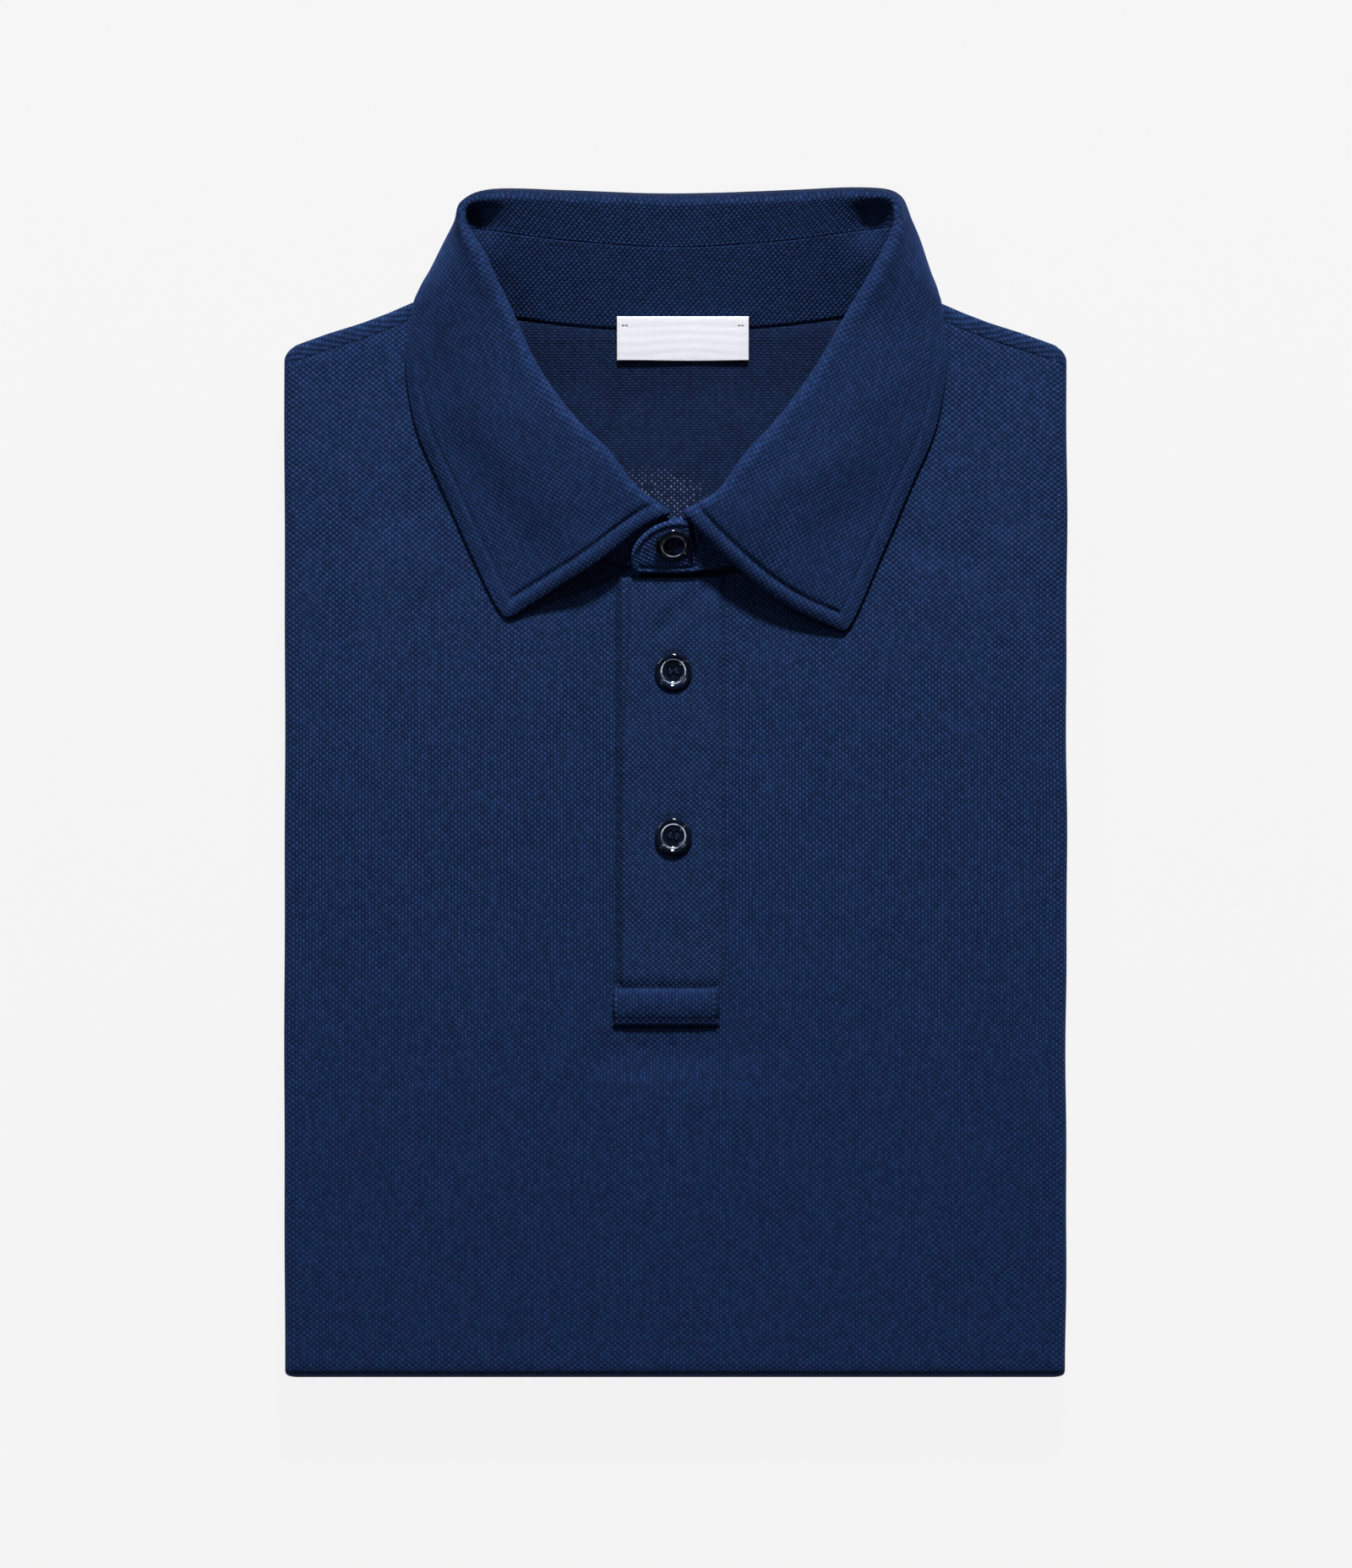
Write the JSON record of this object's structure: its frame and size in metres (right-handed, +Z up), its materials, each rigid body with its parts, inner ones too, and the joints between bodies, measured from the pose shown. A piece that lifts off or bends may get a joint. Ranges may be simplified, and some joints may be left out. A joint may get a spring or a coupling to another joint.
{
  "type": "folded polo shirt",
  "caption": "Navy knit polo shirt, folded flat and face up, with a buttoned stand collar, a half placket and a bare neck label.",
  "frame": {"origin": "middle of the folded shirt's footprint, on the surface that it lies on", "axes": "+Z up out of the front, +Y towards the collar, +X to the right as seen from above"},
  "size_m": [0.2652, 0.4021, 0.0383],
  "materials": {
    "pique_cloth": "matt knitted pique",
    "pique_inside": "matt knitted pique, wrong side",
    "collar_cloth": "matt knitted pique, interfaced",
    "label_white": "woven satin, bare",
    "button_gloss": "polished"
  },
  "bodies": {
    "root": {"front_panel": "pique_cloth", "back_panel": "pique_inside", "folded_layers": "pique_inside", "collar_stand": "collar_cloth", "collar_fall": "collar_cloth", "placket_band": "pique_cloth", "placket_box": "pique_cloth", "neck_label": "label_white", "button_collar": "button_gloss", "button_upper": "button_gloss", "button_lower": "button_gloss"}
  },
  "joints": []
}
